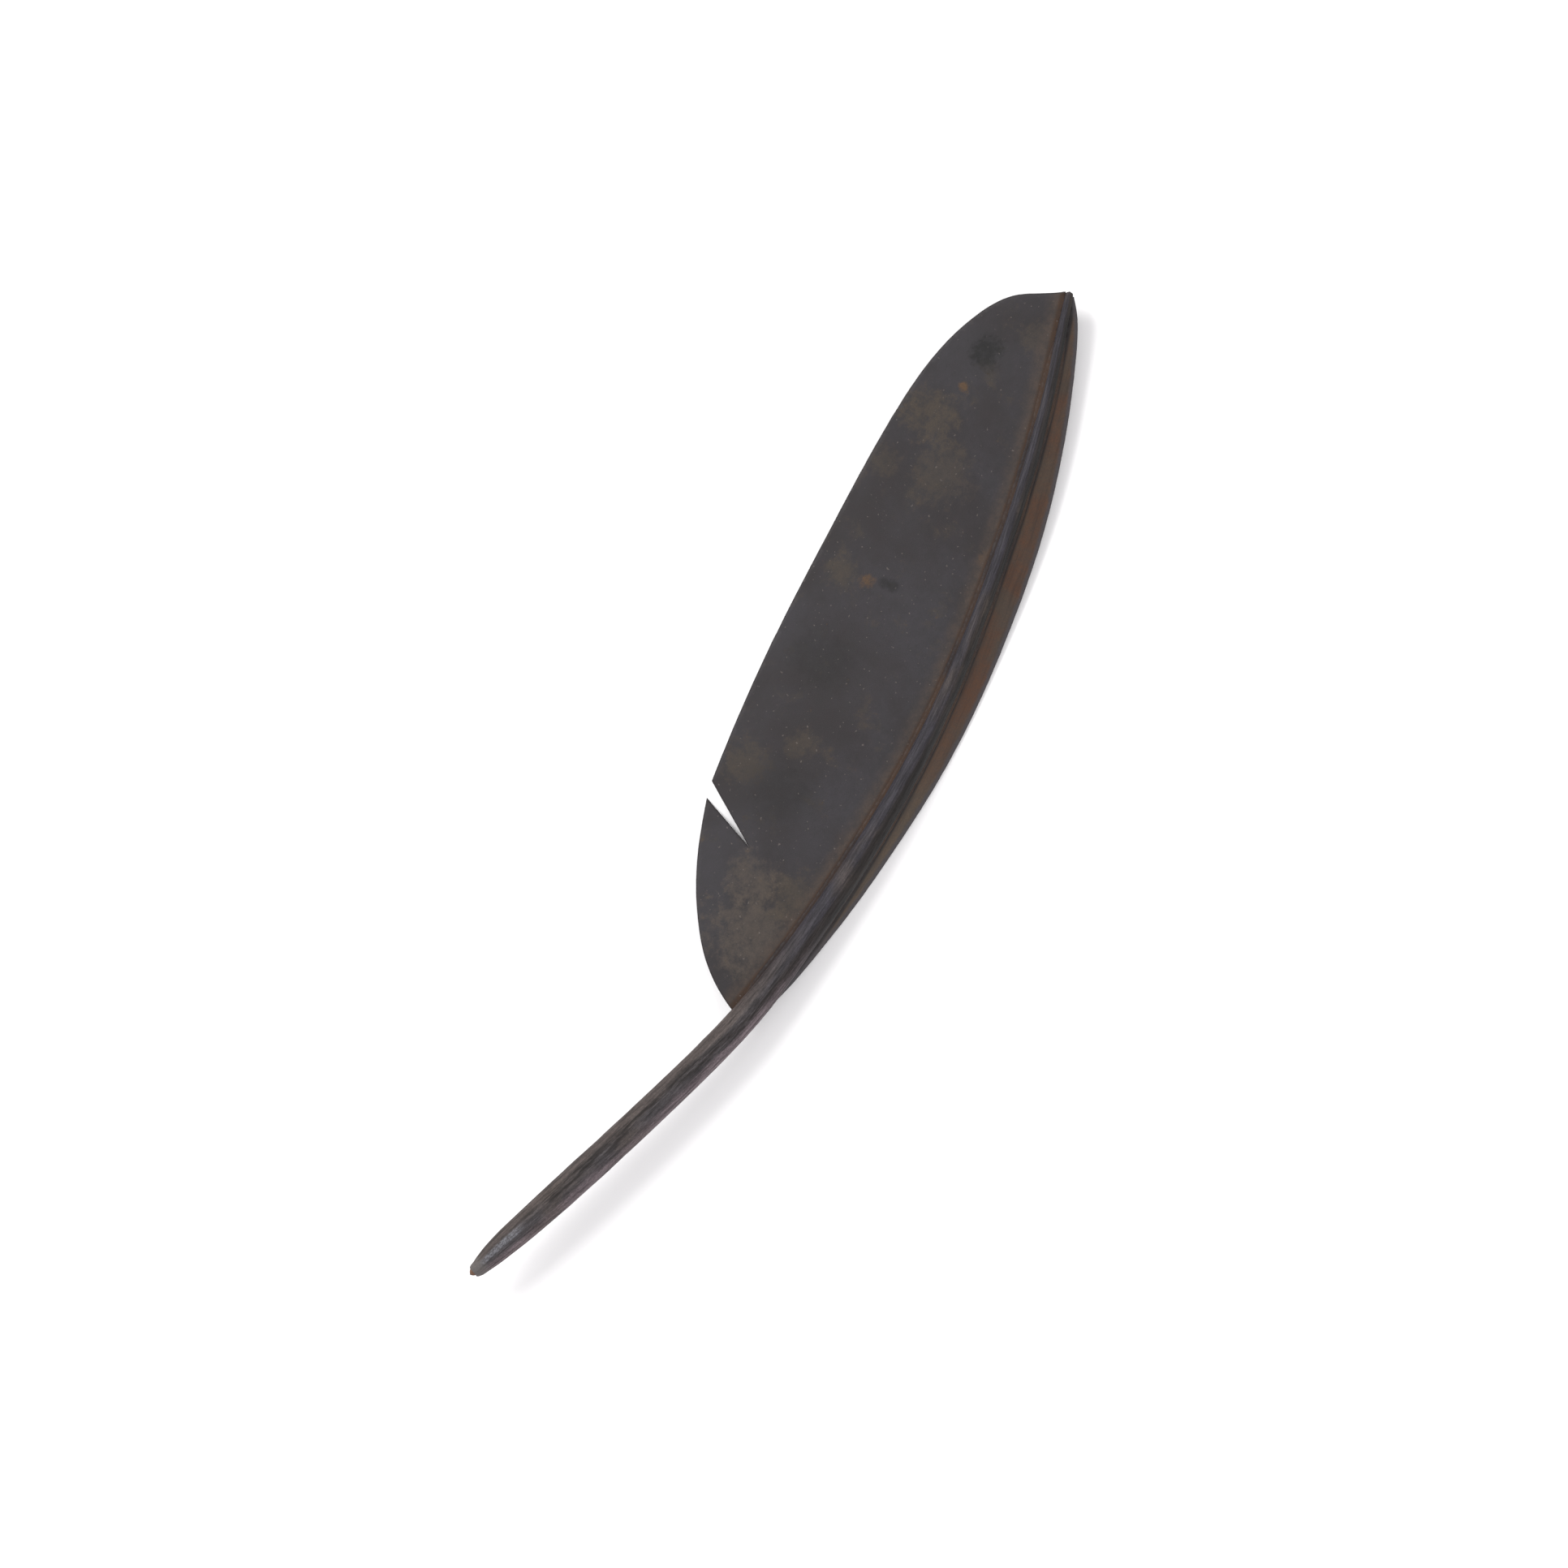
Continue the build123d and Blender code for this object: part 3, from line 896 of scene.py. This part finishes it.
def narrow_finish():
    look = Finish("blackened_narrow", 0.0, SHEEN)
    place = look.place()
    vane = look.place("vane_space")
    s = look.axis(vane, "X")
    out = look.axis(vane, "Y")
    rim = look.axis(vane, "Z")
    clouds = look.noise(place, 16 * MM, 5, 0.6, 0.5)
    mottle = look.noise(place, 2.2 * MM, 5, 0.7)
    grain = look.noise(place, 0.4 * MM, 4, 0.7)
    streak = look.noise(look.stretch(vane, 0.06, 1, 0), 0.8 * MM, 4, 0.6)
    olive_end = look.ramp(s, 170 * MM, 130 * MM)
    colour = look.mix(look.ramp(clouds, 0.38, 0.6), NARROW_BROWN, NARROW_ORANGE)
    colour = look.mix(look.math("MULTIPLY", olive_end, 0.8), colour, NARROW_OLIVE)
    colour = look.mix(look.ramp(streak, 0.45, 0.75, 0, 0.4), colour, NARROW_STREAK_AND_SHADOW)
    # Painted shadow that the rachis casts on the narrow vane beside it.
    colour = look.mix(look.ramp(out, 1.2 * MM, 0.5 * MM), colour, NARROW_STREAK_AND_SHADOW)
    # Painted reflection of the floor along the narrow vane's curled outer rim.
    uneven_reflection_rim = look.math("ADD", rim, look.math("MULTIPLY", mottle, 0.8 * MM))
    colour = look.mix(look.ramp(uneven_reflection_rim, 1.7 * MM, 0.8 * MM, 0, 0.9), colour, NARROW_RIM_REFLECTION)
    shade = look.ramp(grain, 0.25, 0.75, 0.76, 1.24)
    shade = look.math("MULTIPLY", shade, look.ramp(mottle, 0.25, 0.75, 0.85, 1.15))
    colour = look.shaded(colour, shade)
    rough = look.ramp(look.math("ADD", grain, mottle), 0.7, 1.3, 0.6, 0.76)
    return look.finish(colour, rough, grain, 0.03 * MM, 0.6)


def rod_finish():
    look = Finish("blackened_rod", 0.0, SHEEN)
    rod_place = look.place("rod_space")
    lap = look.place("lap_space")
    s = look.axis(rod_place, "X")
    side = look.axis(rod_place, "Y")
    up = look.axis(rod_place, "Z")
    on_top = look.ramp(up, -0.5 * MM, 0.8 * MM)
    streaks = look.noise(look.stretch(rod_place, 0.08, 1, 1), 0.6 * MM, 6, 0.7, 0.2)
    bands = look.noise(look.stretch(rod_place, 0.10, 1, 1), 2.4 * MM, 4, 0.55)
    grain = look.noise(look.stretch(rod_place, 0.5, 1, 1), 0.28 * MM, 3, 0.7)
    clouds = look.noise(look.stretch(rod_place, 0.5, 1, 1), 7 * MM, 4, 0.55)
    sway = look.math("MULTIPLY", look.math("SUBTRACT", bands, 0.5), 2.4 * MM)
    swayed = look.math("ADD", side, sway)
    # Warmer, slightly lighter tone on the flank that faces the softbox: a brown tint with some painted
    # light.
    barrel = look.mix(look.ramp(swayed, 0.2 * MM, 1.7 * MM), BARREL_TOP, BARREL_WARM_LIT)
    # Painted reflection of the bright floor: a lighter pinkish tone along the flank towards the narrow
    # vane.
    barrel = look.mix(look.ramp(swayed, -0.9 * MM, -2.1 * MM), barrel, BARREL_FLOOR_REFLECTION)
    # Painted light and shade on the rachis: lighter grey on the flank towards the softbox, painted shade
    # on the flank towards the narrow vane.
    rachis = look.mix(look.ramp(swayed, 0.1 * MM, -1.1 * MM), RACHIS_LIT_GREY, RACHIS_PAINTED_SHADE)
    # Painted shadow in the crevice where the rachis meets the narrow vane.
    rachis = look.mix(look.ramp(swayed, -1.2 * MM, -1.9 * MM), rachis, RACHIS_CREVICE_SHADOW)
    colour = look.mix(look.ramp(s, BARREL_ENDS, RACHIS_BEGINS), barrel, rachis)
    colour = look.mix(look.ramp(clouds, 0.5, 0.72, 0, 0.45), colour, ROD_BROWN)
    # dark rough strip on the lap line
    gap = look.axis(lap, "X")
    strip_away = look.math("ABSOLUTE", look.math("SUBTRACT", gap, 0.3 * MM))
    strip = look.math("MULTIPLY", look.ramp(strip_away, 1.5 * MM, 0.3 * MM), on_top)
    strip = look.math("MULTIPLY", strip, look.axis(lap, "Y"))
    strip = look.math("MULTIPLY", strip, look.ramp(streaks, 0.35, 0.6, 0.15, 0.85))
    colour = look.mix(strip, colour, ROD_DEEP)
    shade = look.ramp(streaks, 0.32, 0.68, 1.5, 0.5)
    shade = look.math("MULTIPLY", shade, look.ramp(grain, 0.25, 0.75, 0.62, 1.38))
    colour = look.shaded(colour, shade)
    # brighter, scuffed steel at the writing end, with a painted highlight along it
    scuff_highlight_away = look.math("ABSOLUTE", look.math("SUBTRACT", side, 0.4 * MM))
    scuff_and_highlight = look.math("MULTIPLY", look.ramp(scuff_highlight_away, 0.95 * MM, 0.45 * MM), on_top)
    scuff_and_highlight = look.math("MULTIPLY", scuff_and_highlight, look.ramp(s, SCUFF_HIGHLIGHT_ENDS, SCUFF_HIGHLIGHT_FADES))
    scratch = look.noise(look.stretch(rod_place, 0.7, 1, 1), 0.5 * MM, 4, 0.75)
    scuff_and_highlight = look.math("MULTIPLY", scuff_and_highlight, look.ramp(scratch, 0.38, 0.66, 0.1, 0.8))
    colour = look.mix(scuff_and_highlight, colour, BRIGHT_STEEL_AND_HIGHLIGHT)
    worn_end = look.ramp(s, WORN_ENDS, WORN_FADES)
    worn_end = look.math("MULTIPLY", worn_end, look.ramp(scratch, 0.3, 0.6, 0.4, 1))
    colour = look.mix(look.math("MULTIPLY", worn_end, on_top), colour, WORN_END)
    rough = look.ramp(streaks, 0.3, 0.7, 0.62, 0.8)
    height = look.math("ADD", streaks, look.math("MULTIPLY", grain, 0.4))
    return look.finish(colour, rough, height, 0.06 * MM, 0.8)


def braze_finish():
    look = Finish("oxidised_braze", 0.0, SHEEN)
    place = look.place()
    lumps = look.noise(place, 0.9 * MM, 4, 0.65)
    clouds = look.noise(place, 12 * MM, 3, 0.5)
    colour = look.mix(look.ramp(clouds, 0.35, 0.65), BRAZE_DARK, GROOVE_BROWN)
    colour = look.mix(look.ramp(lumps, 0.55, 0.75, 0, 0.35), colour, RUST)
    rough = look.ramp(lumps, 0.3, 0.7, 0.6, 0.78)
    return look.finish(colour, rough, lumps, 0.06 * MM, 0.6)


def turned_metal_finish(name, colour_a, colour_b, roughness, metallic=1.0):
    """Metal with fine turning marks across the refill's axis and clouds of tarnish."""
    look = Finish(name, metallic)
    place = look.place()
    away = look.add(
        "ShaderNodeVectorMath", {0: place, 1: tuple(REFILL_IN)}, operation="DOT_PRODUCT")
    depth = look.add("ShaderNodeCombineXYZ", {"X": away.outputs["Value"]}).outputs[0]
    rings = look.noise(depth, 0.06 * MM, 3, 0.6)
    tarnish = look.noise(place, 3 * MM, 4, 0.6)
    colour = look.mix(look.ramp(tarnish, 0.35, 0.7), colour_a, colour_b)
    rough = look.ramp(tarnish, 0.3, 0.7, roughness, roughness + 0.14)
    return look.finish(colour, rough, rings, 0.004 * MM, 0.5)


def ink_finish():
    look = Finish("black_ink", 0.0)
    streaks = look.noise(look.place(), 0.8 * MM, 3, 0.5)
    colour = look.mix(streaks, linear(6, 6, 12), linear(16, 14, 26))
    look.shader.inputs["Coat Weight"].default_value = 0.6
    return look.finish(colour, look.ramp(streaks, 0.3, 0.7, 0.12, 0.22))


# ---------------------------------------------------------------- the pen

def give(piece, material, body, node):
    """Puts a finished piece on its body in place of a CAD node."""
    piece.data.materials.clear()
    piece.data.materials.append(material)
    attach(piece, body)
    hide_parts(node)


broad_sheet = Sheet("broad_vane")
narrow_sheet = Sheet("narrow_vane")
crease = vane_point(0.562, 0.52)
BROAD_DENTS = [
    (crease, (0.8 * MM, 3.0 * MM), 0.18 * MM),
    ((crease[0] + 1.2 * MM, crease[1] - 2.0 * MM), (1.0 * MM, 1.4 * MM), 0.08 * MM),
    (vane_point(0.885, 0.72), (2.0 * MM, 2.6 * MM), 0.10 * MM),
    (vane_point(0.45, 0.45), (5.0 * MM, 4.0 * MM), 0.10 * MM),
]

give(make_rod(), rod_finish(), "quill", "spine")
give(
    make_vane("broad_vane_sheet", "broad_vane", broad_sheet, 1, BROAD_DENTS),
    sheet_finish(), "quill", "broad_vane")
give(
    make_vane("narrow_vane_sheet", "narrow_vane", narrow_sheet, -1, []),
    narrow_finish(), "quill", "narrow_vane")
braze = braze_finish()
give(
    make_fillet("broad_fillet", "broad_seam", broad_sheet, 1, 0.75 * MM),
    braze, "quill", "broad_seam")
give(
    make_fillet("narrow_fillet", "narrow_seam", narrow_sheet, -1, 0.6 * MM),
    braze, "quill", "narrow_seam")


def make_refill_tube():
    start, end = depth_range("refill_tube")
    length = end - start
    outer = widest_radius("refill_tube")
    inner = widest_radius("ink")
    crimp = 1.5 * MM
    profile = [
        (0, outer - 0.06 * MM),
        (0.06 * MM, outer),
        (crimp - 0.25 * MM, outer),
        (crimp - 0.08 * MM, outer - 0.06 * MM),
        (crimp + 0.08 * MM, outer - 0.06 * MM),
        (crimp + 0.25 * MM, outer),
        (length - 0.08 * MM, outer),
        (length, outer - 0.08 * MM),
        (length, inner + 0.04 * MM),
        (length - 0.06 * MM, inner),
        (length - 5 * MM, inner),
        (0.02 * MM, inner),
    ]
    return lathe("refill_tube_drawn", profile, start)


def turned_steps(node):
    """Depth and outer radius of each ring of a turned CAD node, from its front."""
    depths, radii = turned(node)
    steps = {}
    for depth, radius in zip(np.round(depths - depths.min(), 5), radii):
        steps[depth] = max(steps.get(depth, 0.0), radius)
    return sorted(steps.items())


def make_refill_point():
    start, end = depth_range("refill_point")
    bore = widest_radius("ink")
    rings = [step for step in turned_steps("refill_point") if step[1] > 0.4 * MM]
    lip = rings[0][1]
    steepest = (rings[1][1] - lip) / rings[1][0]
    nose_end, nose = next(
        here for here, beyond in zip(rings, rings[1:])
        if beyond[1] - here[1] < 0.5 * steepest * (beyond[0] - here[0]))
    cone_end = depth_range("refill_tube")[0] - start
    base = widest_radius("refill_point")
    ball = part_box("writing_ball")
    seat = (ball[1].z - ball[0].z) / 2 + 0.01 * MM
    channel = 0.2 * MM
    profile = [(0.0, lip - 0.05 * MM), (0.04 * MM, lip)]
    for share in np.linspace(0.15, 1, 7):
        bulge = 0.07 * MM * math.sin(math.pi * share)
        profile.append((
            0.04 * MM + (nose_end - 0.04 * MM) * share, lip + (nose - lip) * share + bulge))
    profile += [
        (cone_end - 0.35 * MM, base - 0.04 * MM),
        (cone_end - 0.25 * MM, base),
        (cone_end, base),
        (cone_end, bore),
        (end - start, bore),
        (end - start, channel),
        (seat + 0.2 * MM, channel),
        (seat - 0.02 * MM, seat * 0.75),
        (0.14 * MM, seat),
        (0.0, seat * 0.95),
    ]
    return lathe("refill_point_turned", profile, start)


give(
    make_refill_tube(),
    turned_metal_finish("refill_brass", linear(196, 160, 96), linear(168, 128, 74), 0.24),
    "refill", "refill_tube")
give(
    make_refill_point(),
    turned_metal_finish("tarnished_point", linear(128, 98, 76), linear(92, 68, 54), 0.42, 0.6),
    "refill", "refill_point")
for node, material in (
    ("ink", ink_finish()),
    ("writing_ball", turned_metal_finish("hard_ball", linear(120, 118, 122), linear(100, 96, 98), 0.12)),
):
    frame["nodes"][node].data.materials.clear()
    frame["nodes"][node].data.materials.append(material)


# ---------------------------------------------------------------- floor, light and camera

VIEW_SPAN = 341.9 * MM
VIEW_CENTRE = Vector((1.45 * MM, 3.54 * MM, 5 * MM))
VIEW_TURN = math.radians(-58.75)
CAMERA_HEIGHT = 1.5
FLOOR_SIZE = 6.0
SOFTBOX_DISTANCE = 1.2
SOFTBOX_SIZE = 0.6


def make_floor():
    bpy.ops.mesh.primitive_plane_add(size=FLOOR_SIZE, location=(0, 0, 0))
    floor = bpy.context.object
    floor.name = "floor"
    look = Finish("pale_floor", 0.0)
    tone = look.noise(look.place(), 0.4, 2, 0.5)
    colour = look.mix(tone, linear(240, 240, 241), linear(244, 244, 245))
    floor.data.materials.append(look.finish(colour, 0.9))


def make_sky():
    """Soft surround, brighter low down and on the side of the narrow vane."""
    world = bpy.data.worlds.new("studio")
    bpy.context.scene.world = world
    world.use_nodes = True
    nodes, links = world.node_tree.nodes, world.node_tree.links
    direction = nodes.new("ShaderNodeTexCoord")
    parts = nodes.new("ShaderNodeSeparateXYZ")
    overhead = nodes.new("ShaderNodeMapRange")
    opposite = nodes.new("ShaderNodeMapRange")
    strength = nodes.new("ShaderNodeMath")
    strength.operation = "MULTIPLY"
    for node, low, high, at_low, at_high in (
        (overhead, 0.0, 1.0, 1.6, 0.78),
        (opposite, -1.0, 1.0, 1.25, 0.75),
    ):
        node.inputs["From Min"].default_value = low
        node.inputs["From Max"].default_value = high
        node.inputs["To Min"].default_value = at_low
        node.inputs["To Max"].default_value = at_high
    links.new(direction.outputs["Generated"], parts.inputs[0])
    links.new(parts.outputs["Z"], overhead.inputs["Value"])
    links.new(parts.outputs["Y"], opposite.inputs["Value"])
    links.new(overhead.outputs["Result"], strength.inputs[0])
    links.new(opposite.outputs["Result"], strength.inputs[1])
    background = nodes["Background"]
    background.inputs["Color"].default_value = (1.0, 0.985, 0.99, 1)
    links.new(strength.outputs[0], background.inputs["Strength"])


def make_softbox():
    towards = Vector((0.14, 1.02, 0.95)).normalized()
    lamp_data = bpy.data.lights.new("softbox", "AREA")
    lamp_data.shape = "DISK"
    lamp_data.size = SOFTBOX_SIZE
    lamp_data.energy = 13.0
    lamp_data.color = (1.0, 0.99, 0.98)
    lamp = bpy.data.objects.new("softbox", lamp_data)
    lamp.location = towards * SOFTBOX_DISTANCE
    lamp.rotation_mode = "QUATERNION"
    lamp.rotation_quaternion = (-towards).to_track_quat("-Z", "Y")
    bpy.context.scene.collection.objects.link(lamp)


def make_camera():
    data = bpy.data.cameras.new("camera")
    data.sensor_width = 36
    distance = CAMERA_HEIGHT - VIEW_CENTRE.z
    data.lens = data.sensor_width * distance / VIEW_SPAN
    data.clip_start = 0.01
    camera = bpy.data.objects.new("camera", data)
    camera.location = (VIEW_CENTRE.x, VIEW_CENTRE.y, CAMERA_HEIGHT)
    camera.rotation_euler = (0, 0, VIEW_TURN)
    bpy.context.scene.collection.objects.link(camera)
    bpy.context.scene.camera = camera


make_floor()
make_sky()
make_softbox()
make_camera()
bpy.context.scene.view_settings.view_transform = "Standard"
bpy.context.scene.view_settings.look = "None"
